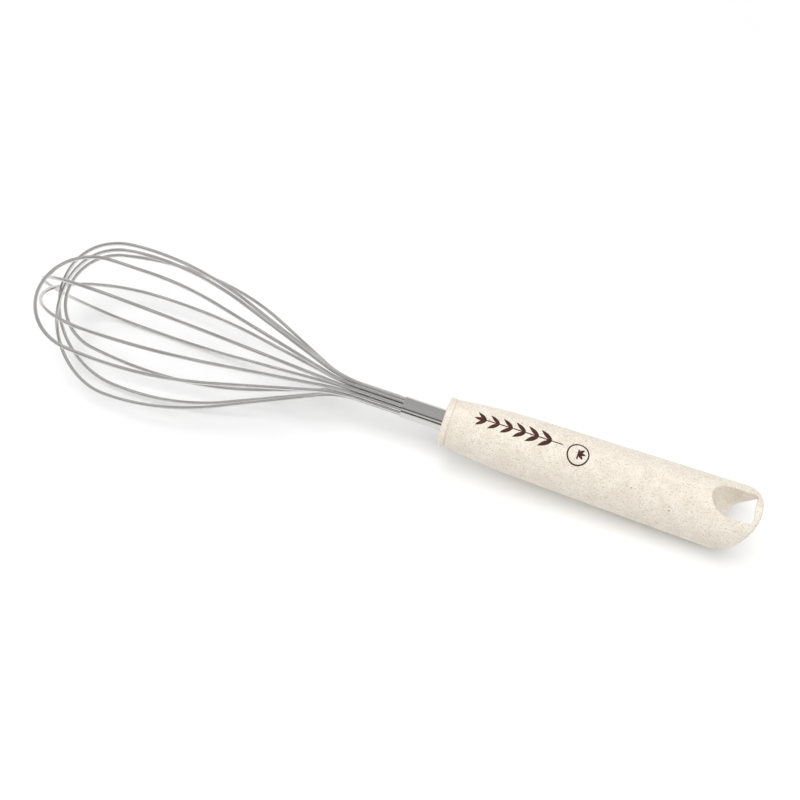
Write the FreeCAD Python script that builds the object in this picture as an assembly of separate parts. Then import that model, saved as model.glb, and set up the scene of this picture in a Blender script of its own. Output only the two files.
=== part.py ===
import FreeCAD, Part
import math
import os

# Balloon whisk, lying on a table.  Millimetres, +Z up.
# The tool is designed about its own axis (the X axis, with the ferrule's mouth
# at x = 0, the wire balloon towards -X and the handle towards +X), and is then
# tipped about Y so that the balloon and the end of the handle both rest on z = 0.
# Directions round the axis are angles in degrees, from straight up (+Z) towards
# the front (-Y): 0 is the top, 90 the front, 180 the underside, 270 the back.

V = FreeCAD.Vector

# ---------------------------------------------------------------- driving sizes
WIRE_DIAMETER = 1.5
FERRULE_OUTER_DIAMETER = 9.0
FERRULE_WALL = 0.4
FERRULE_SHOWING = 17.5          # tube between its mouth and the collar
FERRULE_IN_HANDLE = 28.0        # tube hidden inside collar and handle
LEG_SLOTS = 12                  # legs round the ferrule, evenly spaced
FIRST_SLOT = -5.0               # direction of slot 0
LEG_DEPTH = 38.0                # how far the legs reach into the ferrule
CORE_SETBACK = 1.0              # core pin behind the ferrule's mouth
CORE_NOSE = 0.8                 # rounding of its front end
RUNNING_GAP = 0.02              # between a leg and what it sits against

KNEE_X = 27.0                   # where the legs start to spread
SHOULDER_X = 97.0               # corner of the widest stretch
KNEE_BEND = 42.0                # bend radius at the knee
SHOULDER_BEND = 130.0           # largest bend radius at the shoulder
SHOULDER_ROOM = 0.99            # share of the side run that its bend may take up
BALLOON_SAG = 0.02              # sideways lean of the balloon per millimetre
BALLOON_SAG_DIRECTION = 109.0

COLLAR_RADIUS = 10.0
COLLAR_LENGTH = 3.3
COLLAR_EDGE = 0.8
SPIGOT_RADIUS = 7.0
SPIGOT_LENGTH = 20.0
GROOVE_DEPTH = 0.5              # shadow line between collar and handle
GROOVE_WIDTH = 0.6

HANDLE_LENGTH = 125.4           # along the longer, upper side
HANDLE_RADII = (                # (distance behind the collar, radius)
    (0.0, 9.9),
    (6.0, 10.6),
    (18.0, 11.8),
    (34.0, 12.5),
    (58.0, 13.0),
    (86.0, 13.6),
    (125.4, 14.2),
)
CAVITY_LENGTH = 76.0            # hollow core behind the spigot's seat
CAVITY_RADIUS = 6.2
CAVITY_END_RADIUS = 5.0
BUTT_SLANT = 31.0               # the end face leans back under the handle
BUTT_EDGE = 1.2                 # rounding where the end face meets the side

HOLE_LENGTH = 16.9              # hanging hole, along the handle
HOLE_WIDTH = 12.8
HOLE_CORNER = 2.2               # rounding of its squarer end, by the end face
HOLE_RIM = 4.5                  # plastic left between hole and end face, on top
HOLE_LEAN = 30.0                # degrees; it runs down and back, out of the end face
HOLE_EDGE = 0.5                 # rounding of the hole's two mouths

POINT_TOLERANCE = 0.05          # fineness of the points that find the resting pose
STEEPEST_TILT = 15.0            # the resting tilt is looked for between 0 and this
TILT_STEPS = 30                 # halvings of that range
SAME_POINT = 1e-3               # points closer than this are one point
NEAR_END = 1.0                  # an edge that reaches this near the handle's end is on it
EDGE_SHARES = (0.03, 0.5, 0.97) # stops along an edge, to see whether it is on the wall

# ------------------------------------------------------------ sizes worked out
FERRULE_RADIUS = FERRULE_OUTER_DIAMETER / 2
FERRULE_BORE = FERRULE_RADIUS - FERRULE_WALL
WIRE_RADIUS = WIRE_DIAMETER / 2
RING_RADIUS = FERRULE_BORE - WIRE_RADIUS - RUNNING_GAP
CORE_RADIUS = RING_RADIUS - WIRE_RADIUS - RUNNING_GAP
COLLAR_FRONT = FERRULE_SHOWING
HANDLE_FRONT = COLLAR_FRONT + COLLAR_LENGTH
HANDLE_END = HANDLE_FRONT + HANDLE_LENGTH
FERRULE_END = FERRULE_SHOWING + FERRULE_IN_HANDLE
SLOT_STEP = 360.0 / LEG_SLOTS


class Loop:
    """One wire bent into a loop: two legs and a rounded end.

    slots: the two places in the ferrule's ring that hold its legs
    spread: direction of each leg at the balloon's widest stretch, degrees
    width: distance of each leg from the axis there, mm
    reach: x distance of the rounded end from the ferrule's mouth, mm
    tip: where the middle of the rounded end lies, (front, up) from the axis, mm
    half_end: half the straight distance between the end's two corners, mm
    """

    def __init__(self, slots, spread, width, reach, tip, half_end):
        self.slots = slots
        self.spread = spread
        self.width = width
        self.reach = reach
        self.tip = tip
        self.half_end = half_end


LOOPS = (
    Loop((0, 3), (-23.5, 59.9), (25.5, 39.1), 146.0, (13.5, 30.4), 19.7),
    Loop((11, 4), (-22.4, 119.1), (37.2, 33.6), 152.0, (2.3, -5.1), 30.1),
    Loop((10, 5), (-38, 145), (33.5, 34.5), 154.0, (-3.5, -5.0), 30.0),
    Loop((9, 6), (-95, 157), (40.8, 29.2), 151.6, (-7.0, -3.9), 17.5),
    Loop((1, 7), (18, 204), (33, 33.3), 159.0, (-5.0, -1.0), 34.5),
    Loop((8, 2), (231, 44), (36, 34.5), 156.5, (-2.5, 0.5), 33.0),
)


# ------------------------------------------------------------------ geometry
def off_axis(x, radius, degrees):
    """A point at a distance from the axis, in a direction round it."""
    angle = math.radians(degrees)
    return V(x, -radius * math.sin(angle), radius * math.cos(angle))


def sag(x):
    """How far the balloon leans off the axis at a place along it."""
    return off_axis(0, -x * BALLOON_SAG, BALLOON_SAG_DIRECTION)


def corner_turn(before, corner, after):
    """How far a path turns at a corner, in radians."""
    return (corner - before).getAngle(after - corner)


def rounded_path(corners, radii):
    """Straight runs through 3-D corners, joined by tangent arcs."""
    edges = []
    start = corners[0]
    for before, corner, after, radius in zip(corners, corners[1:], corners[2:], radii):
        back = (before - corner).normalize()
        ahead = (after - corner).normalize()
        turn = corner_turn(before, corner, after)
        cut = radius * math.tan(turn / 2)
        inward = (back + ahead).normalize()
        middle = corner + inward * (radius / math.cos(turn / 2) - radius)
        arc = Part.Arc(corner + back * cut, middle, corner + ahead * cut)
        if start.distanceToPoint(arc.StartPoint) > SAME_POINT:
            edges.append(Part.LineSegment(start, arc.StartPoint).toShape())
        edges.append(arc.toShape())
        start = arc.EndPoint
    edges.append(Part.LineSegment(start, corners[-1]).toShape())
    return Part.Wire(edges)


def cylinder(radius, start, end):
    """A round bar along the axis from x = start to x = end."""
    return Part.makeCylinder(radius, end - start, V(start, 0, 0), V(1, 0, 0))


def turned(outline):
    """A solid turned about the axis from an outline of (x, radius) edges."""
    face = Part.Face(Part.Wire(outline))
    return face.revolve(V(0, 0, 0), V(1, 0, 0), 360)


def polyline(points):
    """Straight edges through (x, radius) points."""
    ends = [V(x, 0, r) for x, r in points]
    return [Part.LineSegment(a, b).toShape() for a, b in zip(ends, ends[1:])]


# --------------------------------------------------------------------- wires
def loop_path(loop):
    """Centre line of one loop: leg, knee, shoulder, rounded end and back."""
    feet = [off_axis(LEG_DEPTH, RING_RADIUS, FIRST_SLOT + slot * SLOT_STEP) for slot in loop.slots]
    knees = [off_axis(-KNEE_X, RING_RADIUS, FIRST_SLOT + slot * SLOT_STEP) for slot in loop.slots]
    shoulders = [
        off_axis(-SHOULDER_X, width, degrees) + sag(-SHOULDER_X)
        for width, degrees in zip(loop.width, loop.spread)
    ]
    front, up = loop.tip
    tip = V(-loop.reach, -front, up) + sag(-loop.reach)
    across = (shoulders[0] - shoulders[1]).normalize() * loop.half_end
    ends = [tip + across, tip - across]
    corners = [feet[0], knees[0], shoulders[0], ends[0]]
    corners += [ends[1], shoulders[1], knees[1], feet[1]]

    end_radii = []
    shoulder_radii = []
    for shoulder, end, other, knee in zip(shoulders, ends, ends[::-1], knees):
        end_turn = corner_turn(shoulder, end, other)
        end_radii.append(loop.half_end / math.tan(end_turn / 2))
        room = shoulder.distanceToPoint(end) - loop.half_end
        shoulder_turn = corner_turn(knee, shoulder, end)
        widest_bend = SHOULDER_ROOM * room / math.tan(shoulder_turn / 2)
        shoulder_radii.append(min(SHOULDER_BEND, widest_bend))
    radii = [KNEE_BEND, shoulder_radii[0], end_radii[0]]
    radii += [end_radii[1], shoulder_radii[1], KNEE_BEND]
    return rounded_path(corners, radii)


def wire_loop(loop):
    """One springy steel wire, round in section all along its path."""
    path = loop_path(loop)
    section = Part.Wire(Part.makeCircle(WIRE_RADIUS, path.Vertexes[0].Point, V(1, 0, 0)))
    return path.makePipeShell([section], True, False)


# ----------------------------------------------------------- ferrule and core
def ferrule():
    """Thin steel tube that grips all twelve legs in one ring."""
    tube = cylinder(FERRULE_RADIUS, 0, FERRULE_END)
    return tube.cut(cylinder(FERRULE_BORE, 0, FERRULE_END))


def ferrule_core():
    """Pin in the middle of the ring, which keeps the legs against the tube."""
    pin = cylinder(CORE_RADIUS, CORE_SETBACK, LEG_DEPTH)
    nose = [edge for edge in pin.Edges if abs(edge.BoundBox.XMax - CORE_SETBACK) < SAME_POINT]
    return pin.makeFillet(CORE_NOSE, nose)


def ferrule_plug():
    """Plug that closes the hidden end of the tube behind the legs."""
    return cylinder(FERRULE_BORE, LEG_DEPTH, FERRULE_END)


# -------------------------------------------------------------------- handle
def handle_collar():
    """Front ring of the handle, with the spigot that carries the ferrule."""
    neck = COLLAR_RADIUS - GROOVE_DEPTH
    spigot_end = HANDLE_FRONT + SPIGOT_LENGTH
    edge_mid = COLLAR_EDGE * (1 - math.sqrt(0.5))
    before = polyline([
        (COLLAR_FRONT, FERRULE_RADIUS),
        (COLLAR_FRONT, COLLAR_RADIUS - COLLAR_EDGE),
    ])
    edge = Part.Arc(
        V(COLLAR_FRONT, 0, COLLAR_RADIUS - COLLAR_EDGE),
        V(COLLAR_FRONT + edge_mid, 0, COLLAR_RADIUS - edge_mid),
        V(COLLAR_FRONT + COLLAR_EDGE, 0, COLLAR_RADIUS),
    ).toShape()
    after = polyline([
        (COLLAR_FRONT + COLLAR_EDGE, COLLAR_RADIUS),
        (HANDLE_FRONT - GROOVE_WIDTH, COLLAR_RADIUS),
        (HANDLE_FRONT - GROOVE_WIDTH, neck),
        (HANDLE_FRONT, neck),
        (HANDLE_FRONT, SPIGOT_RADIUS),
        (spigot_end, SPIGOT_RADIUS),
        (spigot_end, FERRULE_RADIUS),
        (COLLAR_FRONT, FERRULE_RADIUS),
    ])
    return turned(before + [edge] + after)


def handle_blank():
    """The handle's outer shape before its end is cut, a slowly swelling grip."""
    side = Part.BSplineCurve()
    side.interpolate([V(HANDLE_FRONT + x, 0, r) for x, r in HANDLE_RADII])
    front_radius = HANDLE_RADII[0][1]
    end_radius = HANDLE_RADII[-1][1]
    front = polyline([(HANDLE_FRONT, 0), (HANDLE_FRONT, front_radius)])
    back = polyline([(HANDLE_END, end_radius), (HANDLE_END, 0), (HANDLE_FRONT, 0)])
    return turned(front + [side.toShape()] + back)


def slanted_end(blank):
    """The grip with its end face leaning back under the handle."""
    top = V(HANDLE_END, 0, HANDLE_RADII[-1][1])
    size = HANDLE_LENGTH
    block = Part.makeBox(size, size, 2 * size, V(0, -size / 2, -size))
    block.rotate(V(0, 0, 0), V(0, 1, 0), BUTT_SLANT)
    block.translate(top)
    grip = blank.cut(block)
    rim = [edge for edge in grip.Edges if edge.BoundBox.XMax > HANDLE_END - NEAR_END
           and edge.BoundBox.ZLength > HANDLE_RADII[-1][1]]
    return grip.makeFillet(BUTT_EDGE, rim)


def way_down():
    """The direction the hanging hole takes from the top of the grip."""
    lean = math.radians(HOLE_LEAN)
    return V(math.sin(lean), 0, -math.cos(lean))


def hanging_hole():
    """A long hole, round at one end and squarer at the other, that leans back."""
    top = HANDLE_RADII[-1][1]
    half = HOLE_WIDTH / 2
    back = HANDLE_END - HOLE_RIM
    front = back - HOLE_LENGTH
    turn = HOLE_CORNER * (1 - math.sqrt(0.5))
    sides = [
        V(front + half, half, top),
        V(back - HOLE_CORNER, half, top),
        V(back, half - HOLE_CORNER, top),
        V(back, HOLE_CORNER - half, top),
        V(back - HOLE_CORNER, -half, top),
        V(front + half, -half, top),
    ]
    outline = Part.Wire([
        Part.LineSegment(sides[0], sides[1]).toShape(),
        Part.Arc(sides[1], V(back - turn, half - turn, top), sides[2]).toShape(),
        Part.LineSegment(sides[2], sides[3]).toShape(),
        Part.Arc(sides[3], V(back - turn, turn - half, top), sides[4]).toShape(),
        Part.LineSegment(sides[4], sides[5]).toShape(),
        Part.Arc(sides[5], V(front, 0, top), sides[0]).toShape(),
    ])
    face = Part.Face(outline)
    face.translate(way_down() * -top)
    return face.extrude(way_down() * (4 * top))


def eased_hole(grip):
    """The grip with both mouths of its hanging hole rounded."""
    wall = hanging_hole().Shells[0]

    def is_rim(edge):
        first, last = edge.ParameterRange
        stops = [first + (last - first) * share for share in EDGE_SHARES]
        points = [Part.Vertex(edge.valueAt(stop)) for stop in stops]
        on_wall = all(wall.distToShape(point)[0] < SAME_POINT for point in points)
        return on_wall and edge.tangentAt(stops[1]).cross(way_down()).Length > SAME_POINT

    return grip.makeFillet(HOLE_EDGE, [edge for edge in grip.Edges if is_rim(edge)])


def handle_body():
    """Moulded grip: a seat for the spigot, a hollow core and the hanging hole."""
    seat_end = HANDLE_FRONT + SPIGOT_LENGTH
    seat = cylinder(SPIGOT_RADIUS, HANDLE_FRONT, seat_end)
    core = Part.makeCone(CAVITY_RADIUS, CAVITY_END_RADIUS, CAVITY_LENGTH,
                         V(seat_end, 0, 0), V(1, 0, 0))
    grip = slanted_end(handle_blank())
    return eased_hole(grip.cut([seat, core, hanging_hole()]))


# ------------------------------------------------------------------ assembly
def resting_height(points, tilt):
    """Height of the lowest point when the tool is tilted about Y."""
    sine = math.sin(tilt)
    cosine = math.cos(tilt)
    return min(point.z * cosine - point.x * sine for point in points)


def resting_tilt(balloon_points, handle_points):
    """The tilt at which balloon and handle are equally low."""
    low, high = 0.0, math.radians(STEEPEST_TILT)
    for _ in range(TILT_STEPS):
        tilt = (low + high) / 2
        if resting_height(balloon_points, tilt) < resting_height(handle_points, tilt):
            low = tilt
        else:
            high = tilt
    return tilt


def surface_points(shapes):
    """Fine points over the surface of some solids."""
    return [point for shape in shapes for point in shape.tessellate(POINT_TOLERANCE)[0]]


def placed(shape, placement):
    """A copy of a shape, moved as a whole."""
    moved = shape.copy()
    moved.Placement = placement * moved.Placement
    return moved


def laid_on_table(nodes):
    """Tilt the tool to its resting pose and centre it on the origin."""
    loops = [shape for name, shape in nodes.items() if name.startswith("wire_loop")]
    balloon_points = surface_points(loops)
    handle_points = surface_points([nodes["handle_body"]])
    tilt = resting_tilt(balloon_points, handle_points)
    turn = FreeCAD.Rotation(V(0, 1, 0), math.degrees(tilt))
    points = [turn.multVec(point) for point in balloon_points + handle_points]
    low = V(*(min(getattr(point, axis) for point in points) for axis in "xyz"))
    high = V(*(max(getattr(point, axis) for point in points) for axis in "xyz"))
    shift = V(-(low.x + high.x) / 2, -(low.y + high.y) / 2, -low.z)
    placement = FreeCAD.Placement(shift, turn)
    print("tilt %.3f degrees, shift %s, size %s" % (math.degrees(tilt), shift, high - low))
    return {name: placed(shape, placement) for name, shape in nodes.items()}


def build():
    """Every separate piece of the whisk, by node name."""
    nodes = {"wire_loop_%d" % number: wire_loop(loop) for number, loop in enumerate(LOOPS, 1)}
    nodes["ferrule"] = ferrule()
    nodes["ferrule_core"] = ferrule_core()
    nodes["ferrule_plug"] = ferrule_plug()
    nodes["handle_collar"] = handle_collar()
    nodes["handle_body"] = handle_body()
    return laid_on_table(nodes)


def main():
    os.makedirs("parts", exist_ok=True)
    for name, shape in build().items():
        shape.exportStep("parts/%s.step" % name)
        print("%-14s volume %9.2f  valid %s" % (name, shape.Volume, shape.isValid()))


main()
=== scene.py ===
"""Balloon whisk with a wheat-fibre grip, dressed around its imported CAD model.

Sizes are in millimetres in the tool's own frame: the ferrule's mouth is at
x = 0, the balloon runs towards -X and the grip towards +X.  ToolAxis turns
them into metres in the frame of the CAD model.
"""

import logging
import math
from dataclasses import dataclass, field
from enum import Enum
from typing import Any, Sequence

import bmesh
import bpy
from mathutils import Matrix, Vector


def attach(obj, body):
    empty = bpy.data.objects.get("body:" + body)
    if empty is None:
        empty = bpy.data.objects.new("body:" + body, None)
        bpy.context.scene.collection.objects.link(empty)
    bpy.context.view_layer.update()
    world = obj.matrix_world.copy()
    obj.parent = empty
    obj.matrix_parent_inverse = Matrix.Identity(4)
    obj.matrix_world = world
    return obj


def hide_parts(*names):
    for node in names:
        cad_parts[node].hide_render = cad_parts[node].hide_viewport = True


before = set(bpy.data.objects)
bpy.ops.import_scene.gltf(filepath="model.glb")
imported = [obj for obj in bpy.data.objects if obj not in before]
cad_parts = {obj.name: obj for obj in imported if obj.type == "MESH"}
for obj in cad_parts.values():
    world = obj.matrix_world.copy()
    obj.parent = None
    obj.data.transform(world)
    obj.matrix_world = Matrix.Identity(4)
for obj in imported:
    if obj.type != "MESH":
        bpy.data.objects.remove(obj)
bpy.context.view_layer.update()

log = logging.getLogger("whisk")

MM = 0.001
BODY = "root"
WELD = 1e-6                 # metres between corners that are one corner
NOISE_SPAN = (0.3, 0.7)     # most of a noise texture's values lie between these


class Slot(Enum):
    """Names of the CAD model's material slots, one for each kind of new piece; hand_over is
    given one but does not use it.
    """

    WIRE = "wire_steel"
    FERRULE = "ferrule_steel"
    GRIP = "handle_plastic"


# ------------------------------------------------------------------- helpers
def linear(hex_colour: str) -> tuple[float, float, float, float]:
    """Turn an sRGB hex colour into a linear RGBA value.

    Args:
        hex_colour: six hex digits after a hash sign.

    Returns:
        Linear red, green, blue and an alpha of one.
    """
    parts = [int(hex_colour[i:i + 2], 16) / 255 for i in (1, 3, 5)]
    red, green, blue = (
        c / 12.92 if c <= 0.04045 else ((c + 0.055) / 1.055) ** 2.4 for c in parts
    )
    return red, green, blue, 1.0


def add_node(tree: bpy.types.NodeTree, kind: str, inputs: dict | None = None,
             **settings: Any) -> bpy.types.Node:
    """Add one node with its settings, values and links.

    Args:
        tree: the node tree that gets the node.
        kind: the node's type.
        inputs: for an input's name or number, its value or the output to link.
        settings: the node's own properties.

    Returns:
        The new node.
    """
    node = tree.nodes.new(kind)
    for name, value in settings.items():
        setattr(node, name, value)
    for key, value in (inputs or {}).items():
        if isinstance(value, bpy.types.NodeSocket):
            tree.links.new(value, node.inputs[key])
        else:
            node.inputs[key].default_value = value
    return node


def set_ramp(node: bpy.types.Node, stops: Sequence[tuple[float, Any]]) -> None:
    """Give a colour ramp its stops.

    Args:
        node: the ColorRamp node.
        stops: pairs of position and linear colour, in order.
    """
    elements = node.color_ramp.elements
    while len(elements) < len(stops):
        elements.new(1.0)
    for element, (position, colour) in zip(elements, stops):
        element.position = position
        element.color = colour


def new_material(name: str) -> tuple[bpy.types.Material, bpy.types.NodeTree, bpy.types.Node]:
    """Open a node material.

    Args:
        name: the real material's name.

    Returns:
        The material, its node tree and its shader node.
    """
    made = bpy.data.materials.new(name)
    made.use_nodes = True
    return made, made.node_tree, made.node_tree.nodes["Principled BSDF"]


def object_place(tree: bpy.types.NodeTree) -> bpy.types.NodeSocket:
    """The place on the piece, in metres, in the frame of the CAD model."""
    return add_node(tree, "ShaderNodeTexCoord").outputs["Object"]


def tool_place(tree: bpy.types.NodeTree) -> bpy.types.NodeSocket:
    """The place on the piece, turned so that X runs along the tool."""
    level = add_node(tree, "ShaderNodeMapping", {
        "Vector": object_place(tree), "Rotation": (0.0, -math.radians(AXIS.tilt), 0.0)})
    return level.outputs[0]


def texture_skin(tree: bpy.types.NodeTree, height: bpy.types.NodeSocket,
                 roughness: tuple[float, float], bump: tuple[float, float]) -> None:
    """Let one noise drive a shader's roughness and its fine relief.

    Args:
        tree: the material's tree.
        height: the noise's value.
        roughness: lowest and highest roughness.
        bump: strength of the relief, and its depth in millimetres.
    """
    shader = tree.nodes["Principled BSDF"]
    rough = add_node(tree, "ShaderNodeMapRange", {
        "Value": height, "From Min": NOISE_SPAN[0], "From Max": NOISE_SPAN[1],
        "To Min": roughness[0], "To Max": roughness[1]})
    relief = add_node(tree, "ShaderNodeBump", {
        "Height": height, "Strength": bump[0], "Distance": bump[1] * MM})
    tree.links.new(rough.outputs["Result"], shader.inputs["Roughness"])
    tree.links.new(relief.outputs["Normal"], shader.inputs["Normal"])


def clouded(tree: bpy.types.NodeTree, size: float, detail: float,
            stops: Sequence[tuple[float, str]]) -> bpy.types.NodeSocket:
    """A colour that wanders between stops in soft clouds.

    Args:
        tree: the material's tree.
        size: size of a cloud, in millimetres.
        detail: how many finer layers the clouds have.
        stops: pairs of position in the noise and sRGB hex colour.

    Returns:
        The colour.
    """
    clouds = add_node(tree, "ShaderNodeTexNoise", {
        "Vector": object_place(tree), "Scale": 1 / (size * MM), "Detail": detail})
    tint = add_node(tree, "ShaderNodeValToRGB", {"Fac": clouds.outputs["Fac"]})
    set_ramp(tint, [(position, linear(colour)) for position, colour in stops])
    return tint.outputs["Color"]


def show(name: str, mesh: bpy.types.Mesh) -> bpy.types.Object:
    """Put a mesh into the scene as an object at the origin."""
    piece = bpy.data.objects.new(name, mesh)
    bpy.context.scene.collection.objects.link(piece)
    return piece


def ease_shading(mesh: bpy.types.Mesh, crease: float) -> None:
    """Shade smooth, with creases kept where faces meet at more than an angle."""
    mesh.shade_smooth()
    mesh.set_sharp_from_angle(angle=math.radians(crease))


def hand_over(piece: bpy.types.Object, slot: Slot, *nodes: str) -> None:
    """Attach a finished piece to the body, and hide the CAD nodes that it replaces.

    Args:
        piece: the finished object.
        slot: not used.
        nodes: the CAD nodes that it replaces, if any.
    """
    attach(piece, BODY)
    if nodes:
        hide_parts(*nodes)
    log.info("%-18s %6d faces", piece.name, len(piece.data.polygons))


def paint_node(node: str, material: bpy.types.Material) -> None:
    """Give a carried-over CAD node its material."""
    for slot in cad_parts[node].material_slots:
        slot.material = material
    log.info("%-18s painted", node)


@dataclass(frozen=True)
class ToolAxis:
    """Where the whisk's own axis lies as it rests on the table.

    tilt: degrees that the handle's end drops towards the table.
    shift: place of the ferrule's mouth, in millimetres.
    """

    tilt: float = 4.382
    shift: tuple[float, float, float] = (6.8387, 2.4345, 23.7740)

    def matrix(self) -> Matrix:
        """The move from tool millimetres to frame metres."""
        turn = Matrix.Rotation(math.radians(self.tilt), 4, "Y")
        return Matrix.Scale(MM, 4) @ Matrix.Translation(self.shift) @ turn

    def place(self, x: float, radius: float, degrees: float) -> Vector:
        """A point at a distance from the axis, in tool millimetres.

        Args:
            x: place along the axis.
            radius: distance from the axis.
            degrees: direction, from straight up towards the front.

        Returns:
            The point, still in the tool's own frame.
        """
        angle = math.radians(degrees)
        return Vector((x, -radius * math.sin(angle), radius * math.cos(angle)))


AXIS = ToolAxis()


class MeshRecipe:
    """A Geometry Nodes tree with named inputs, run once to give a plain mesh."""

    def __init__(self, name: str, inputs: dict[str, str]) -> None:
        """Open the tree.

        Args:
            name: the tree's name.
            inputs: socket type of each input, by its name.
        """
        self.tree = bpy.data.node_groups.new(name, "GeometryNodeTree")
        ends = self.tree.interface
        ends.new_socket("Geometry", in_out="INPUT", socket_type="NodeSocketGeometry")
        wanted = {**inputs, "Material": "NodeSocketMaterial"}
        self.keys = {
            label: ends.new_socket(label, in_out="INPUT", socket_type=kind).identifier
            for label, kind in wanted.items()
        }
        ends.new_socket("Geometry", in_out="OUTPUT", socket_type="NodeSocketGeometry")
        self.given = self.tree.nodes.new("NodeGroupInput").outputs

    def add(self, kind: str, inputs: dict | None = None, **settings: Any) -> bpy.types.Node:
        """Add one node to this tree."""
        return add_node(self.tree, kind, inputs, **settings)

    def close(self, geometry: bpy.types.NodeSocket) -> None:
        """End the tree in Realize Instances and Set Material."""
        real = self.add("GeometryNodeRealizeInstances", {"Geometry": geometry})
        painted = self.add("GeometryNodeSetMaterial", {
            "Geometry": real.outputs[0], "Material": self.given["Material"]})
        self.add("NodeGroupOutput", {"Geometry": painted.outputs[0]})

    def run(self, name: str, seed: bpy.types.Mesh, values: dict[str, Any]) -> bpy.types.Object:
        """Run the tree on a mesh.

        Args:
            name: name of the finished piece.
            seed: the mesh that the tree starts from.
            values: a value for each named input.

        Returns:
            A plain mesh object at the origin.
        """
        source = show(name + "_seed", seed)
        modifier = source.modifiers.new("recipe", "NODES")
        modifier.node_group = self.tree
        for label, value in values.items():
            modifier[self.keys[label]] = value
        graph = bpy.context.evaluated_depsgraph_get()
        mesh = bpy.data.meshes.new_from_object(
            source.evaluated_get(graph), preserve_all_data_layers=True, depsgraph=graph)
        bpy.data.objects.remove(source)
        mesh.name = name
        return show(name, mesh)


# ------------------------------------------------------------------ finishes
@dataclass(frozen=True)
class DrawnStainlessWire:
    """Bright-drawn stainless spring wire, passed through a die and polished.

    The eye sees a mirror-like round with faint streaks along its length.
    """

    colour: str = "#E4E3E1"
    worn: str = "#CCCAC8"
    streaks_round: float = 9.0      # drawing lines round the wire that can show
    streak_length: float = 14.0     # mm before a line fades out
    streak_detail: float = 3.0      # finer layers within a streak
    streak_tints: tuple[float, float] = (0.35, 0.6)     # noise at worn, at colour
    roughness: tuple[float, float] = (0.17, 0.30)
    bump: tuple[float, float] = (0.15, 0.01)            # strength; depth, mm

    def material(self) -> bpy.types.Material:
        """Build the material; it reads the wire's own run and round attributes."""
        made, tree, shader = new_material("stainless_wire_drawn")
        shader.inputs["Metallic"].default_value = 1.0
        run = add_node(tree, "ShaderNodeAttribute", attribute_name="run")
        around = add_node(tree, "ShaderNodeAttribute", attribute_name="round")
        along = add_node(tree, "ShaderNodeMath", {
            0: run.outputs["Fac"], 1: 1 / (self.streak_length * MM)},
            operation="MULTIPLY")
        across = add_node(tree, "ShaderNodeMath", {
            0: around.outputs["Fac"], 1: self.streaks_round}, operation="MULTIPLY")
        place = add_node(tree, "ShaderNodeCombineXYZ", {
            "X": along.outputs[0], "Y": across.outputs[0]})
        streak = add_node(tree, "ShaderNodeTexNoise", {
            "Vector": place.outputs[0], "Scale": 1.0, "Detail": self.streak_detail})
        tint = add_node(tree, "ShaderNodeValToRGB", {"Fac": streak.outputs["Fac"]})
        set_ramp(tint, list(zip(self.streak_tints, (linear(self.worn), linear(self.colour)))))
        tree.links.new(tint.outputs["Color"], shader.inputs["Base Color"])
        texture_skin(tree, streak.outputs["Fac"], self.roughness, self.bump)
        return made


@dataclass(frozen=True)
class PolishedStainlessTube:
    """Thin-walled stainless tube, belt-polished along its length.

    The eye sees long soft bands of light with hair-fine lines along the tube.
    """

    colour: str = "#CFCDCA"
    line_width: float = 0.35        # mm between polishing lines that can show
    line_length: float = 18.0       # mm
    line_detail: float = 2.0        # finer layers within a line
    roughness: tuple[float, float] = (0.10, 0.20)
    bump: tuple[float, float] = (0.12, 0.01)            # strength; depth, mm

    def material(self) -> bpy.types.Material:
        """Build the material; its lines follow the tool's axis."""
        made, tree, shader = new_material("stainless_tube_polished")
        shader.inputs["Metallic"].default_value = 1.0
        shader.inputs["Base Color"].default_value = linear(self.colour)
        fine = 1 / (self.line_width * MM)
        stretch = add_node(tree, "ShaderNodeMapping", {
            "Vector": tool_place(tree),
            "Scale": (1 / (self.line_length * MM), fine, fine)})
        lines = add_node(tree, "ShaderNodeTexNoise", {
            "Vector": stretch.outputs[0], "Scale": 1.0, "Detail": self.line_detail})
        texture_skin(tree, lines.outputs["Fac"], self.roughness, self.bump)
        return made


@dataclass(frozen=True)
class Fleck:
    """One kind of straw particle in the plastic.

    colour: its colour, as sRGB hex.
    spacing: millimetres between places where one may lie.
    size: its half width, in millimetres.
    share: part of those places that hold one.
    length: how many times longer than wide it is, along the grip.
    strength: how strongly it shows through the plastic.
    """

    colour: str
    spacing: float
    size: float
    share: float
    length: float
    strength: float


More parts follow.
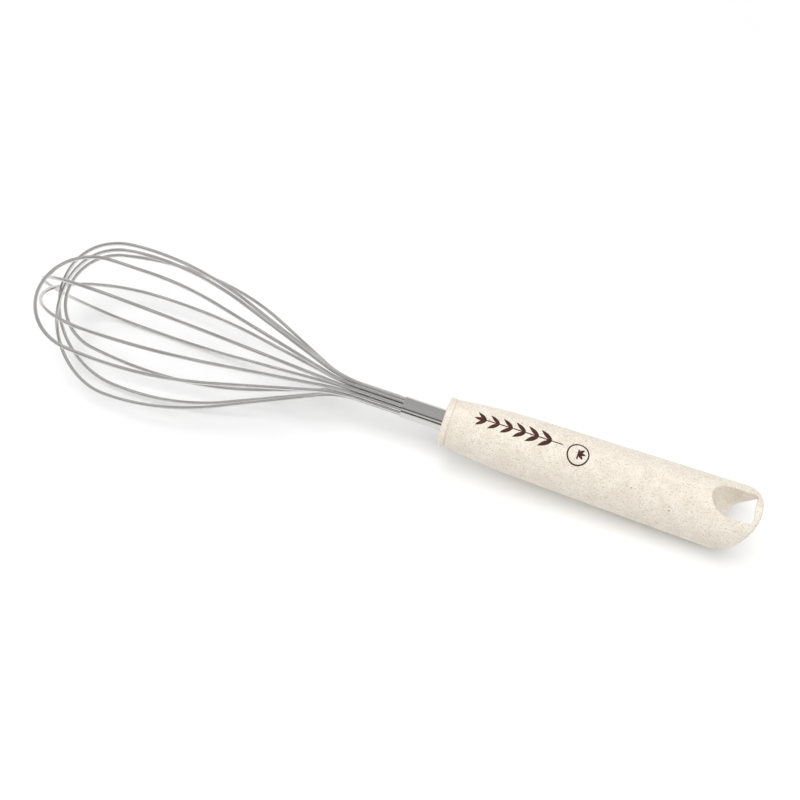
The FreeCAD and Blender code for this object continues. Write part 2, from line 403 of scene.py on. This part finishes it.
@dataclass(frozen=True)
class WheatFibrePlastic:
    """Injection-moulded polypropylene filled with ground wheat straw.

    The eye sees a warm cream, satin surface, clouded and full of tiny tan,
    grey and brown flecks.
    """

    light: str = "#F0E9DC"
    cloud: str = "#E6DDCF"
    cloud_size: float = 5.0         # mm
    cloud_detail: float = 4.0       # finer layers within a cloud
    cloud_tints: tuple[float, float] = (0.35, 0.65)     # noise at cloud, at light
    grain_size: float = 0.5         # mm, smallest clouding that shows
    grain_detail: float = 2.0
    roughness: tuple[float, float] = (0.42, 0.58)
    bump: tuple[float, float] = (0.25, 0.02)            # strength; depth, mm
    ior: float = 1.49
    # real straw dust is finer; each kind is drawn as coarse as it needs to show
    flecks: tuple[Fleck, ...] = (
        Fleck("#CDC1AE", 0.62, 0.22, 0.70, 1.0, 0.75),
        Fleck("#C2B49E", 0.9, 0.24, 0.60, 1.0, 0.65),
        Fleck("#B5A085", 1.3, 0.17, 0.50, 2.4, 0.60),
        Fleck("#A08D78", 2.0, 0.24, 0.45, 1.0, 0.70),
        Fleck("#7C6650", 4.2, 0.28, 0.50, 1.3, 0.80),
    )
    fleck_edge: tuple[float, float] = (0.5, 1.4)        # half widths: solid to, gone at
    fleck_shift: tuple[float, float] = (3.7, 1.9)       # sets the kinds apart, in cells

    def strew(self, tree: bpy.types.NodeTree, place: bpy.types.NodeSocket,
              under: bpy.types.NodeSocket, number: int) -> bpy.types.NodeSocket:
        """Lay one kind of fleck over a colour.

        Args:
            tree: the material's tree.
            place: the place on the piece, along the tool.
            under: the colour beneath.
            number: which kind of fleck, from 0.

        Returns:
            The colour with its flecks.
        """
        fleck = self.flecks[number]
        spread = 1 / (fleck.spacing * MM)
        edge = fleck.size / fleck.spacing
        spot = add_node(tree, "ShaderNodeMapping", {
            "Vector": place,
            "Location": (number * self.fleck_shift[0], number * self.fleck_shift[1], 0.0),
            "Scale": (spread / fleck.length, spread, spread)})
        cells = add_node(tree, "ShaderNodeTexVoronoi", {
            "Vector": spot.outputs[0], "Scale": 1.0, "Randomness": 1.0})
        chosen = add_node(tree, "ShaderNodeSeparateColor", {"Color": cells.outputs["Color"]})
        here = add_node(tree, "ShaderNodeMath", {
            0: chosen.outputs["Red"], 1: fleck.share}, operation="LESS_THAN")
        near = add_node(tree, "ShaderNodeMapRange", {
            "Value": cells.outputs["Distance"],
            "From Min": self.fleck_edge[0] * edge, "From Max": self.fleck_edge[1] * edge,
            "To Min": fleck.strength, "To Max": 0.0})
        amount = add_node(tree, "ShaderNodeMath", {
            0: near.outputs["Result"], 1: here.outputs[0]}, operation="MULTIPLY")
        mixed = add_node(tree, "ShaderNodeMix", {
            0: amount.outputs[0], 6: under, 7: linear(fleck.colour)}, data_type="RGBA")
        return mixed.outputs[2]

    def material(self) -> bpy.types.Material:
        """Build the material on Object coordinates, turned to the tool's axis."""
        made, tree, shader = new_material("wheat_fibre_polypropylene")
        shader.inputs["IOR"].default_value = self.ior
        place = tool_place(tree)
        clouds = add_node(tree, "ShaderNodeTexNoise", {
            "Vector": place, "Scale": 1 / (self.cloud_size * MM), "Detail": self.cloud_detail})
        base = add_node(tree, "ShaderNodeValToRGB", {"Fac": clouds.outputs["Fac"]})
        set_ramp(base, list(zip(self.cloud_tints, (linear(self.cloud), linear(self.light)))))
        colour = base.outputs["Color"]
        for number in range(len(self.flecks)):
            colour = self.strew(tree, place, colour, number)
        tree.links.new(colour, shader.inputs["Base Color"])
        grain = add_node(tree, "ShaderNodeTexNoise", {
            "Vector": place, "Scale": 1 / (self.grain_size * MM), "Detail": self.grain_detail})
        texture_skin(tree, grain.outputs["Fac"], self.roughness, self.bump)
        return made


@dataclass(frozen=True)
class BrownPadPrint:
    """Dark brown ink laid on by a soft silicone pad.

    The eye sees a thin, nearly matt layer, a little uneven where the plastic
    shows through.
    """

    dense: str = "#3F2018"
    thin: str = "#5A3428"
    patch: float = 0.8              # mm
    patch_detail: float = 2.0       # finer layers within a patch
    tints: tuple[float, float] = (0.45, 0.75)           # noise at dense, at thin
    roughness: float = 0.55

    def material(self) -> bpy.types.Material:
        """Build the material on Object coordinates."""
        made, tree, shader = new_material("pad_print_brown")
        shader.inputs["Roughness"].default_value = self.roughness
        colour = clouded(tree, self.patch, self.patch_detail,
                         list(zip(self.tints, (self.dense, self.thin))))
        tree.links.new(colour, shader.inputs["Base Color"])
        return made


@dataclass(frozen=True)
class DarkMouldedPlastic:
    """Dark grey moulded nylon, hidden between the wires' legs.

    The eye sees at most a dark, dull spot deep in the ferrule's mouth.
    """

    dark: str = "#3A3A3C"
    pale: str = "#4A4A4C"
    grain: float = 0.4              # mm
    grain_detail: float = 2.0       # finer layers within the grain
    tints: tuple[float, float] = (0.4, 0.6)             # noise at dark, at pale
    roughness: float = 0.6

    def material(self) -> bpy.types.Material:
        """Build the material on Object coordinates."""
        made, tree, shader = new_material("nylon_dark_moulded")
        shader.inputs["Roughness"].default_value = self.roughness
        colour = clouded(tree, self.grain, self.grain_detail,
                         list(zip(self.tints, (self.dark, self.pale))))
        tree.links.new(colour, shader.inputs["Base Color"])
        return made


@dataclass(frozen=True)
class MatteWhiteFloor:
    """White matt-painted studio board.

    The eye sees an even white, almost without gloss.
    """

    light: str = "#FAFAFA"
    shade: str = "#F6F6F6"
    patch: float = 60.0             # mm
    patch_detail: float = 2.0       # finer layers within a patch
    tints: tuple[float, float] = (0.4, 0.6)             # noise at shade, at light
    roughness: float = 0.9
    gloss: float = 0.1              # far below a plastic's 0.5

    def material(self) -> bpy.types.Material:
        """Build the material on Object coordinates."""
        made, tree, shader = new_material("board_white_matt")
        shader.inputs["Roughness"].default_value = self.roughness
        shader.inputs["Specular IOR Level"].default_value = self.gloss
        colour = clouded(tree, self.patch, self.patch_detail,
                         list(zip(self.tints, (self.shade, self.light))))
        tree.links.new(colour, shader.inputs["Base Color"])
        return made


# ------------------------------------------------------------------- balloon
@dataclass(frozen=True)
class LoopShape:
    """One wire loop, by the sizes that the CAD model gives it.

    slots: the two places in the ferrule's ring that hold its legs.
    spread: direction of each leg at the widest stretch, degrees.
    width: distance of each leg from the axis there.
    reach: distance of the rounded end from the ferrule's mouth.
    tip: where the middle of the rounded end lies, (front, up) from the axis.
    half_end: half the straight distance between the end's two corners.
    """

    slots: tuple[int, int]
    spread: tuple[float, float]
    width: tuple[float, float]
    reach: float
    tip: tuple[float, float]
    half_end: float


@dataclass
class WireBalloon:
    """Six springy loops that cross at the far end and meet in the ferrule."""

    wire_radius: float = 0.75       # mm
    ring_radius: float = 3.33       # of the ring of legs in the ferrule, mm
    ring_places: int = 12
    first_place: float = -5.0       # direction of place 0, degrees
    leg_depth: float = 38.0         # mm of leg inside the ferrule
    knee: float = 27.0              # mm before the mouth, where the legs spread
    shoulder: float = 97.0          # mm before the mouth, where the loop is widest
    knee_bend: float = 42.0         # bend radius, mm
    shoulder_bend: float = 130.0    # largest bend radius, mm
    shoulder_room: float = 0.99     # share of the free straight that a bend may use
    sag: float = 0.02               # mm off the axis for each mm along it
    sag_direction: float = 109.0    # degrees
    sides: int = 20
    bend_steps: int = 40
    crease: float = 50.0            # degrees; flatter joints are shaded smooth
    loops: tuple[LoopShape, ...] = (
        LoopShape((0, 3), (-23.5, 59.9), (25.5, 39.1), 146.0, (13.5, 30.4), 19.7),
        LoopShape((11, 4), (-22.4, 119.1), (37.2, 33.6), 152.0, (2.3, -5.1), 30.1),
        LoopShape((10, 5), (-38, 145), (33.5, 34.5), 154.0, (-3.5, -5.0), 30.0),
        LoopShape((9, 6), (-95, 157), (40.8, 29.2), 151.6, (-7.0, -3.9), 17.5),
        LoopShape((1, 7), (18, 204), (33, 33.3), 159.0, (-5.0, -1.0), 34.5),
        LoopShape((8, 2), (231, 44), (36, 34.5), 156.5, (-2.5, 0.5), 33.0),
    )

    def lean(self, x: float) -> Vector:
        """How far the balloon leans off the axis at a place along it."""
        return AXIS.place(0.0, -x * self.sag, self.sag_direction)

    def corners(self, loop: LoopShape) -> tuple[list[Vector], list[float]]:
        """Corners of a loop's centre line, and the bend radius at each.

        Args:
            loop: the loop's sizes.

        Returns:
            Eight corners in tool millimetres, and eight radii.
        """
        step = 360.0 / self.ring_places
        places = [self.first_place + slot * step for slot in loop.slots]
        feet = [AXIS.place(self.leg_depth, self.ring_radius, a) for a in places]
        knees = [AXIS.place(-self.knee, self.ring_radius, a) for a in places]
        shoulders = [
            AXIS.place(-self.shoulder, width, degrees) + self.lean(-self.shoulder)
            for width, degrees in zip(loop.width, loop.spread)
        ]
        front, up = loop.tip
        tip = Vector((-loop.reach, -front, up)) + self.lean(-loop.reach)
        across = (shoulders[0] - shoulders[1]).normalized() * loop.half_end
        ends = [tip + across, tip - across]
        bends = []
        for knee, shoulder, end, other in zip(knees, shoulders, ends, ends[::-1]):
            end_turn = (end - shoulder).angle(other - end)
            shoulder_turn = (shoulder - knee).angle(end - shoulder)
            room = self.shoulder_room * ((end - shoulder).length - loop.half_end)
            bends.append((
                min(self.shoulder_bend, room / math.tan(shoulder_turn / 2)),
                loop.half_end / math.tan(end_turn / 2),
            ))
        points = [feet[0], knees[0], shoulders[0], ends[0]]
        points += [ends[1], shoulders[1], knees[1], feet[1]]
        radii = [0.0, self.knee_bend, *bends[0], *bends[1][::-1], self.knee_bend, 0.0]
        return points, radii

    def recipe(self) -> MeshRecipe:
        """The tree that rounds a path's corners and sweeps a wire along it."""
        made = MeshRecipe("bent_wire", {
            "Wire Radius": "NodeSocketFloat", "Sides": "NodeSocketInt",
            "Bend Steps": "NodeSocketInt"})
        runs = made.add("GeometryNodeMeshToCurve", {"Mesh": made.given["Geometry"]})
        bend = made.add("GeometryNodeInputNamedAttribute", {"Name": "bend"},
                        data_type="FLOAT")
        path = made.add("GeometryNodeFilletCurve", {
            "Curve": runs.outputs[0], "Count": made.given["Bend Steps"],
            "Radius": bend.outputs["Attribute"]}, mode="POLY")
        length = made.add("GeometryNodeSplineParameter")
        path = made.add("GeometryNodeStoreNamedAttribute", {
            "Geometry": path.outputs[0], "Name": "run", "Value": length.outputs["Length"]},
            data_type="FLOAT", domain="POINT")
        section = made.add("GeometryNodeCurvePrimitiveCircle", {
            "Resolution": made.given["Sides"], "Radius": made.given["Wire Radius"]})
        section = made.add("GeometryNodeStoreNamedAttribute", {
            "Geometry": section.outputs[0], "Name": "round",
            "Value": length.outputs["Factor"]},
            data_type="FLOAT", domain="POINT")
        wire = made.add("GeometryNodeCurveToMesh", {
            "Curve": path.outputs[0], "Profile Curve": section.outputs[0],
            "Fill Caps": True})
        made.close(wire.outputs[0])
        return made

    def build(self, material: bpy.types.Material) -> None:
        """Sweep the six wires."""
        recipe = self.recipe()
        move = AXIS.matrix()
        for number, loop in enumerate(self.loops, 1):
            points, radii = self.corners(loop)
            seed = bpy.data.meshes.new("wire_path")
            links = [(i, i + 1) for i in range(len(points) - 1)]
            seed.from_pydata([move @ point for point in points], links, [])
            bend = seed.attributes.new("bend", "FLOAT", "POINT")
            bend.data.foreach_set("value", [radius * MM for radius in radii])
            wire = recipe.run("balloon_wire_%d" % number, seed, {
                "Wire Radius": self.wire_radius * MM, "Sides": self.sides,
                "Bend Steps": self.bend_steps, "Material": material})
            ease_shading(wire.data, self.crease)
            hand_over(wire, Slot.WIRE, "wire_loop_%d" % number)


# ------------------------------------------------------- ferrule and collar
TURNED_CREASE = 32.0        # degrees; flatter joints are shaded smooth


@dataclass(frozen=True)
class Corner:
    """A corner of a turned outline: place along the axis, radius, and easing."""

    x: float
    radius: float
    ease: float = 0.0


def turned(name: str, outline: Sequence[Corner], sides: int = 128,
           ease_steps: int = 6) -> bpy.types.Object:
    """Turn a closed outline about the tool's axis.

    Args:
        name: name of the piece.
        outline: corners of the closed section, in order.
        sides: flats round the axis.
        ease_steps: points that round each eased corner.

    Returns:
        The turned piece, in place.
    """
    section: list[Vector] = []
    earlier, later = (outline[-1], *outline), (*outline[1:], outline[0])
    for before, here, after in zip(earlier, outline, later):
        corner = Vector((here.x, here.radius))
        if not here.ease:
            section.append(corner)
            continue
        back = (Vector((before.x, before.radius)) - corner).normalized()
        ahead = (Vector((after.x, after.radius)) - corner).normalized()
        start, end = corner + back * here.ease, corner + ahead * here.ease
        for i in range(ease_steps + 1):
            t = i / ease_steps
            section.append(start.lerp(corner, t).lerp(corner.lerp(end, t), t))
    move = AXIS.matrix()
    shape = bmesh.new()
    rings = [
        [shape.verts.new(move @ AXIS.place(x, radius, 360.0 * side / sides))
         for x, radius in section]
        for side in range(sides)
    ]
    for ring, following in zip(rings, rings[1:] + rings[:1]):
        for i in range(len(section)):
            shape.faces.new((ring[i - 1], ring[i], following[i], following[i - 1]))
    bmesh.ops.recalc_face_normals(shape, faces=shape.faces)
    mesh = bpy.data.meshes.new(name)
    shape.to_mesh(mesh)
    shape.free()
    ease_shading(mesh, TURNED_CREASE)
    return show(name, mesh)


@dataclass
class Ferrule:
    """Steel tube round the twelve legs, with the pin and plug inside it."""

    radius: float = 4.5             # mm
    bore: float = 4.1               # radius, mm
    length: float = 45.5            # mm
    lip: float = 0.15               # easing of the mouth's edge, mm

    def build(self, steel: bpy.types.Material, nylon: bpy.types.Material) -> None:
        """Turn the tube, and paint the pin and the plug."""
        tube = turned("ferrule_tube", (
            Corner(0.0, self.bore, self.lip / 2),
            Corner(0.0, self.radius, self.lip),
            Corner(self.length, self.radius),
            Corner(self.length, self.bore),
        ))
        tube.data.materials.append(steel)
        hand_over(tube, Slot.FERRULE, "ferrule")
        paint_node("ferrule_core", nylon)
        paint_node("ferrule_plug", nylon)


@dataclass
class Grip:
    """Moulded handle: front collar with its spigot, and the long tapered grip."""

    front: float = 17.5             # the collar's face, from the ferrule's mouth, mm
    collar: float = 3.3             # the collar's length, mm
    collar_radius: float = 10.0     # mm
    collar_edge: float = 0.8        # easing of its front edge, mm
    groove_width: float = 0.6       # mm
    groove_depth: float = 0.5       # mm
    groove_edge: float = 0.1        # easing of small edges, mm
    spigot: float = 7.0             # radius, mm
    spigot_length: float = 20.0     # mm
    bore: float = 4.5               # radius of the ferrule's seat, mm
    crease: float = 28.0            # degrees; flatter joints are shaded smooth

    def build_collar(self) -> bpy.types.Object:
        """Turn the collar, the shadow groove behind it and the spigot."""
        seat = self.front + self.collar
        neck = self.collar_radius - self.groove_depth
        return turned("grip_collar", (
            Corner(self.front, self.bore, self.groove_edge),
            Corner(self.front, self.collar_radius, self.collar_edge),
            Corner(seat - self.groove_width, self.collar_radius, self.groove_edge),
            Corner(seat - self.groove_width, neck, self.groove_edge),
            Corner(seat, neck),
            Corner(seat, self.spigot),
            Corner(seat + self.spigot_length, self.spigot, self.groove_edge),
            Corner(seat + self.spigot_length, self.bore),
        ))

    def build_handle(self) -> bpy.types.Object:
        """Weld a copy of the CAD grip so that it shades as one smooth skin."""
        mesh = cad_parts["handle_body"].data.copy()
        mesh.name = "grip_handle"
        shape = bmesh.new()
        shape.from_mesh(mesh)
        bmesh.ops.remove_doubles(shape, verts=shape.verts, dist=WELD)
        shape.to_mesh(mesh)
        shape.free()
        ease_shading(mesh, self.crease)
        mesh.materials.clear()
        return show("grip_handle", mesh)

    def build(self, plastic: bpy.types.Material) -> bpy.types.Object:
        """Make and dress both plastic pieces.

        Args:
            plastic: the grip's material.

        Returns:
            The handle, which the print is laid on.
        """
        collar = self.build_collar()
        handle = self.build_handle()
        for piece, node in ((collar, "handle_collar"), (handle, "handle_body")):
            piece.data.materials.append(plastic)
            hand_over(piece, Slot.GRIP, node)
        return handle


# --------------------------------------------------------------------- print
@dataclass(frozen=True)
class Sprig:
    """One printed motif: a stem with pairs of kernels, and a ring if wanted.

    start: place of the stem's foot, (along, across) in tool millimetres.
    end: place of the last kernel's foot.
    bare: part of the stem below the first pair.
    pairs: how many pairs of kernels.
    kernel: length and half width of a kernel.
    splay: degrees between a kernel and the stem.
    shrink: size of the last kernels against the first.
    line: half width of the stem and the ring.
    ring: radius of the ring round the motif's middle; 0 for none.
    """

    start: tuple[float, float]
    end: tuple[float, float]
    bare: float
    pairs: int
    kernel: tuple[float, float]
    splay: float
    shrink: float
    line: float
    ring: float = 0.0


@dataclass
class GrainPrint:
    """A plain ear of wheat and a ringed sprout, printed on top of the grip."""

    ink: float = 0.03               # mm that the ink stands proud, and is sunk
    above: float = 30.0             # mm above the axis that the pad starts from
    step: float = 0.5               # mm between points of a printed line
    line_sides: int = 12
    ring_sides: int = 96
    drop: float = 100.0             # mm that the pad may travel down
    plump: tuple[float, float] = (0.8, 0.85)    # shape of a kernel: foot, belly
    crease: float = 40.0            # degrees; flatter joints are shaded smooth
    ear: Sprig = field(default_factory=lambda: Sprig(
        (65.0, 0.0), (34.0, 0.0), 0.14, 6, (6.2, 0.95), 36.0, 0.8, 0.24))
    sprout: Sprig = field(default_factory=lambda: Sprig(
        (71.8, -3.9), (71.8, 0.0), 0.6, 1, (3.0, 0.62), 42.0, 1.0, 0.3, 4.2))

    def kernel(self, sprig: Sprig, rings: int = 14, sides: int = 12) -> bpy.types.Object:
        """One plump kernel, pointed at both ends, lying along X from its foot.

        Args:
            sprig: the motif, for the kernel's size.
            rings: sections along it.
            sides: corners of each section.

        Returns:
            A closed mesh object, only used while the print is made.
        """
        length, half = sprig.kernel
        shape = bmesh.new()
        tips = [shape.verts.new((x * MM, 0.0, 0.0)) for x in (0.0, length)]
        sections = []
        for i in range(1, rings):
            t = i / rings
            width = half * math.sin(math.pi * t ** self.plump[0]) ** self.plump[1]
            sections.append([
                shape.verts.new((length * t * MM,
                                 width * math.cos(math.tau * k / sides) * MM,
                                 width * math.sin(math.tau * k / sides) * MM))
                for k in range(sides)
            ])
        for k in range(sides):
            shape.faces.new((tips[0], sections[0][k - 1], sections[0][k]))
            shape.faces.new((tips[1], sections[-1][k], sections[-1][k - 1]))
            for one, two in zip(sections, sections[1:]):
                shape.faces.new((one[k], one[k - 1], two[k - 1], two[k]))
        bmesh.ops.recalc_face_normals(shape, faces=shape.faces)
        mesh = bpy.data.meshes.new("kernel")
        shape.to_mesh(mesh)
        shape.free()
        return show("kernel", mesh)

    def recipe(self) -> MeshRecipe:
        """The tree that sets kernels on a stem and presses them on the grip."""
        made = MeshRecipe("pressed_sprig", {
            "Kernel": "NodeSocketObject", "Grip": "NodeSocketObject",
            "Pairs": "NodeSocketInt", "Bare Stem": "NodeSocketFloat",
            "Splay": "NodeSocketFloat", "Shrink": "NodeSocketFloat",
            "Line": "NodeSocketFloat", "Line Sides": "NodeSocketInt",
            "Step": "NodeSocketFloat", "Ring": "NodeSocketFloat",
            "Ring Centre": "NodeSocketVector", "Ink": "NodeSocketFloat",
            "Tilt": "NodeSocketFloat", "Lift": "NodeSocketVector"})
        given = made.given
        stem = made.add("GeometryNodeMeshToCurve", {"Mesh": given["Geometry"]})
        kernel = made.add("GeometryNodeObjectInfo", {"Object": given["Kernel"]})
        grip = made.add("GeometryNodeObjectInfo", {"Object": given["Grip"]})
        # kernels in pairs, smaller towards the tip, and one at the tip itself
        upper = made.add("GeometryNodeTrimCurve", {
            "Curve": stem.outputs[0], "Start": given["Bare Stem"], "End": 1.0},
            mode="FACTOR")
        feet = made.add("GeometryNodeResampleCurve", {
            "Curve": upper.outputs[0], "Count": given["Pairs"]})
        factor = made.add("GeometryNodeSplineParameter")
        size = made.add("ShaderNodeMapRange", {
            "Value": factor.outputs["Factor"], "From Min": 0.0, "From Max": 1.0,
            "To Min": 1.0, "To Max": given["Shrink"]})
        tangent = made.add("ShaderNodeSeparateXYZ", {
            0: made.add("GeometryNodeInputTangent").outputs[0]})
        heading = made.add("ShaderNodeMath", {
            0: tangent.outputs["Y"], 1: tangent.outputs["X"]}, operation="ARCTAN2")
        last = made.add("GeometryNodeCurveEndpointSelection", {
            "Start Size": 0, "End Size": 1})
        parts = []
        for side in (1.0, -1.0, 0.0):
            turn = made.add("ShaderNodeMath", {
                0: given["Splay"], 1: side, 2: heading.outputs[0]}, operation="MULTIPLY_ADD")
            facing = made.add("ShaderNodeCombineXYZ", {"Z": turn.outputs[0]})
            row = made.add("GeometryNodeInstanceOnPoints", {
                "Points": feet.outputs[0], "Instance": kernel.outputs["Geometry"],
                "Rotation": facing.outputs[0], "Scale": size.outputs["Result"]})
            if not side:
                made.tree.links.new(last.outputs[0], row.inputs["Selection"])
            parts.append(row.outputs[0])
        # stem and ring as lines of ink
        pen = made.add("GeometryNodeCurvePrimitiveCircle", {
            "Resolution": given["Line Sides"], "Radius": given["Line"]})
        hoop = made.add("GeometryNodeCurvePrimitiveCircle", {
            "Resolution": self.ring_sides, "Radius": given["Ring"]})
        hoop = made.add("GeometryNodeTransform", {
            "Geometry": hoop.outputs[0], "Translation": given["Ring Centre"]})
        wanted = made.add("FunctionNodeCompare", {0: given["Ring"], 1: 0.0},
                          data_type="FLOAT", operation="GREATER_THAN")
        hoop = made.add("GeometryNodeSwitch", {
            "Switch": wanted.outputs[0], "True": hoop.outputs[0]}, input_type="GEOMETRY")
        fine = made.add("GeometryNodeResampleCurve", {
            "Curve": stem.outputs[0], "Length": given["Step"]}, mode="LENGTH")
        for line in (fine, hoop):
            drawn = made.add("GeometryNodeCurveToMesh", {
                "Curve": line.outputs[0], "Profile Curve": pen.outputs[0],
                "Fill Caps": True})
            parts.append(drawn.outputs[0])
        flat = made.add("GeometryNodeJoinGeometry")
        for part in parts:
            made.tree.links.new(part, flat.inputs[0])
        flat = made.add("GeometryNodeRealizeInstances", {"Geometry": flat.outputs[0]})
        # pressed straight down on the grip, one ink thickness deep and proud
        spot = made.add("ShaderNodeSeparateXYZ", {
            0: made.add("GeometryNodeInputPosition").outputs[0]})
        low = made.add("ShaderNodeMath", {0: given["Ink"], 1: -1.0}, operation="MULTIPLY")
        rise = made.add("ShaderNodeClamp", {
            "Value": spot.outputs["Z"], "Min": low.outputs[0], "Max": given["Ink"]})
        level = made.add("ShaderNodeCombineXYZ", {
            "X": spot.outputs["X"], "Y": spot.outputs["Y"]})
        turned_over = made.add("ShaderNodeVectorRotate", {
            "Vector": level.outputs[0], "Angle": given["Tilt"]}, rotation_type="Y_AXIS")
        source = made.add("ShaderNodeVectorMath", {
            0: turned_over.outputs[0], 1: given["Lift"]}, operation="ADD")
        down = made.add("ShaderNodeVectorRotate", {
            "Vector": (0.0, 0.0, -1.0), "Angle": given["Tilt"]}, rotation_type="Y_AXIS")
        hit = made.add("GeometryNodeRaycast", {
            "Target Geometry": grip.outputs["Geometry"],
            "Source Position": source.outputs[0],
            "Ray Direction": down.outputs[0], "Ray Length": self.drop * MM})
        proud = made.add("ShaderNodeVectorMath", {
            0: hit.outputs["Hit Normal"], "Scale": rise.outputs[0]}, operation="SCALE")
        there = made.add("ShaderNodeVectorMath", {
            0: hit.outputs["Hit Position"], 1: proud.outputs[0]}, operation="ADD")
        pressed = made.add("GeometryNodeSetPosition", {
            "Geometry": flat.outputs[0], "Position": there.outputs[0]})
        made.close(pressed.outputs[0])
        return made

    def build(self, handle: bpy.types.Object, ink: bpy.types.Material) -> None:
        """Print both motifs.

        Args:
            handle: the grip that they are pressed on.
            ink: the print's material.
        """
        recipe = self.recipe()
        lift = AXIS.matrix() @ Vector((0.0, 0.0, self.above))
        for name, sprig in (("print_wheat_ear", self.ear), ("print_sprout", self.sprout)):
            kernel = self.kernel(sprig)
            seed = bpy.data.meshes.new("stem")
            ends = [(x * MM, y * MM, 0.0) for x, y in (sprig.start, sprig.end)]
            seed.from_pydata(ends, [(0, 1)], [])
            middle = [(a + b) / 2 for a, b in zip(*ends)]
            piece = recipe.run(name, seed, {
                "Kernel": kernel, "Grip": handle, "Pairs": sprig.pairs,
                "Bare Stem": sprig.bare, "Splay": math.radians(sprig.splay),
                "Shrink": sprig.shrink, "Line": sprig.line * MM,
                "Line Sides": self.line_sides, "Step": self.step * MM,
                "Ring": sprig.ring * MM, "Ring Centre": middle,
                "Ink": self.ink * MM, "Tilt": math.radians(AXIS.tilt),
                "Lift": lift, "Material": ink})
            bpy.data.objects.remove(kernel)
            ease_shading(piece.data, self.crease)
            hand_over(piece, Slot.GRIP)


# -------------------------------------------------------------------- studio
@dataclass(frozen=True)
class SoftLight:
    """One large softbox.

    place: where it hangs, metres.
    size: its width and height, metres.
    power: watts.
    """

    place: tuple[float, float, float]
    size: tuple[float, float]
    power: float


@dataclass
class Studio:
    """White board, soft daylight-white light and the camera."""

    aim: tuple[float, float, float] = (0.0049, 0.00415, 0.02514)    # metres
    azimuth: float = 18.785         # degrees round from the front
    elevation: float = 60.12        # degrees
    distance: float = 0.451         # metres
    roll: float = 0.18              # degrees
    lens: float = 50.0              # mm
    sensor: float = 36.0            # mm
    near: float = 0.01              # metres; nothing closer is drawn
    board: float = 6.0              # metres
    board_squares: int = 8
    lights: tuple[SoftLight, ...] = (
        SoftLight((0.05, -0.22, 1.15), (0.9, 0.9), 9.4),
        SoftLight((-0.35, 0.80, 1.00), (0.4, 0.4), 1.6),
    )
    # brightness of the room round the tool's axis: degrees from the front
    # horizon over the top to the back horizon
    room: tuple[tuple[float, float], ...] = (
        (0.0, 0.10), (17.0, 0.12), (22.0, 0.92), (32.0, 0.92), (38.0, 0.14),
        (48.0, 0.14), (54.0, 0.58), (110.0, 0.56), (165.0, 0.54), (180.0, 0.54))
    room_strength: float = 1.0

    def build_board(self, paint: bpy.types.Material) -> None:
        """Lay the plain floor."""
        mesh = bpy.data.meshes.new("board")
        shape = bmesh.new()
        bmesh.ops.create_grid(shape, x_segments=self.board_squares,
                              y_segments=self.board_squares, size=self.board / 2)
        shape.to_mesh(mesh)
        shape.free()
        mesh.materials.append(paint)
        show("board", mesh)

    def build_room(self) -> None:
        """Make the room's soft glow, with the dark gaps between its lamps."""
        world = bpy.data.worlds.new("room")
        bpy.context.scene.world = world
        world.use_nodes = True
        tree = world.node_tree
        coords = add_node(tree, "ShaderNodeTexCoord")
        way = add_node(tree, "ShaderNodeSeparateXYZ", {0: coords.outputs["Generated"]})
        front = add_node(tree, "ShaderNodeMath", {
            0: way.outputs["Y"], 1: -1.0}, operation="MULTIPLY")
        angle = add_node(tree, "ShaderNodeMath", {
            0: way.outputs["Z"], 1: front.outputs[0]}, operation="ARCTAN2")
        share = add_node(tree, "ShaderNodeMath", {
            0: angle.outputs[0], 1: math.pi}, operation="DIVIDE")
        glow = add_node(tree, "ShaderNodeValToRGB", {"Fac": share.outputs[0]})
        set_ramp(glow, [(at / 180.0, (v, v, v, 1.0)) for at, v in self.room])
        tree.links.new(glow.outputs["Color"], tree.nodes["Background"].inputs["Color"])
        tree.nodes["Background"].inputs["Strength"].default_value = self.room_strength

    def build_lights(self) -> None:
        """Hang the softboxes, each facing the whisk."""
        for number, soft in enumerate(self.lights, 1):
            lamp = bpy.data.lights.new("softbox_%d" % number, "AREA")
            lamp.shape = "RECTANGLE"
            lamp.size, lamp.size_y = soft.size
            lamp.energy = soft.power
            box = bpy.data.objects.new(lamp.name, lamp)
            box.location = soft.place
            box.rotation_euler = Vector(soft.place).to_track_quat("Z", "Y").to_euler()
            box.visible_glossy = False      # the metal mirrors the room instead
            bpy.context.scene.collection.objects.link(box)

    def build_camera(self) -> None:
        """Set the camera at its angle and distance."""
        lens = bpy.data.cameras.new("camera")
        lens.lens = self.lens
        lens.sensor_width = self.sensor
        lens.clip_start = self.near
        camera = bpy.data.objects.new("camera", lens)
        around, up = math.radians(self.azimuth), math.radians(self.elevation)
        away = Vector((
            math.cos(up) * math.sin(around), -math.cos(up) * math.cos(around), math.sin(up)))
        camera.matrix_world = (
            Matrix.Translation(Vector(self.aim) + away * self.distance)
            @ away.to_track_quat("Z", "Y").to_matrix().to_4x4()
            @ Matrix.Rotation(math.radians(self.roll), 4, "Z")
        )
        bpy.context.scene.collection.objects.link(camera)
        bpy.context.scene.camera = camera

    def build(self, paint: bpy.types.Material) -> None:
        """Set up the whole studio."""
        self.build_board(paint)
        self.build_room()
        self.build_lights()
        self.build_camera()
        bpy.context.scene.view_settings.view_transform = "Standard"


def main() -> None:
    """Build the whisk piece by piece, then the studio."""
    logging.basicConfig(level=logging.INFO, format="%(name)s: %(message)s")
    WireBalloon().build(DrawnStainlessWire().material())
    Ferrule().build(PolishedStainlessTube().material(), DarkMouldedPlastic().material())
    handle = Grip().build(WheatFibrePlastic().material())
    GrainPrint().build(handle, BrownPadPrint().material())
    Studio().build(MatteWhiteFloor().material())


if __name__ == "__main__":
    main()
